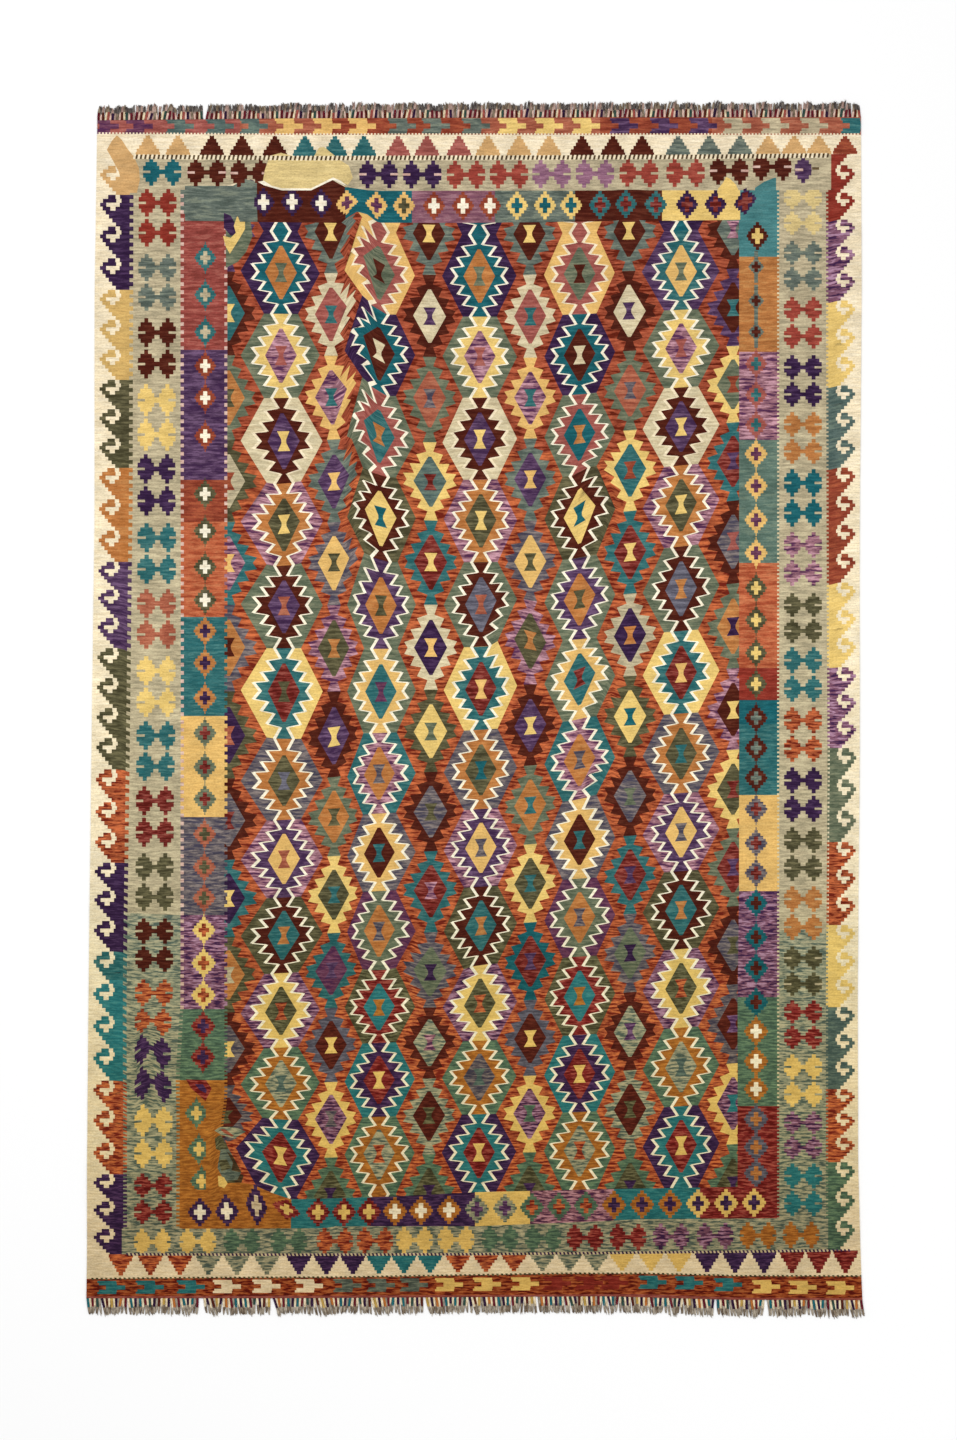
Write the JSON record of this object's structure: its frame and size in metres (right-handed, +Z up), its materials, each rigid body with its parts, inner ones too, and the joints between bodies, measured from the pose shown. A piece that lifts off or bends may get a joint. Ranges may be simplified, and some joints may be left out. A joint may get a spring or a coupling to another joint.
{
  "type": "kilim rug",
  "caption": "Flat-woven rectangular wool rug with stepped diamonds, hooked borders and a short fringe at both ends, lying flat with low folds.",
  "frame": {"origin": "on the floor, under the middle of the rug's outline with its fringes", "axes": "+Y along the rug towards its upper end in the picture, +X across it to the right, +Z up out of its face"},
  "size_m": [1.978, 3.09, 0.0085],
  "materials": {
    "rug_wool": "matt, slit-woven wool in many dyed colours",
    "fringe_wool": "matt, cut ends of wool warp"
  },
  "bodies": {
    "root": {"kilim_body": "rug_wool", "fringe_top": "fringe_wool", "fringe_bottom": "fringe_wool"}
  },
  "joints": []
}
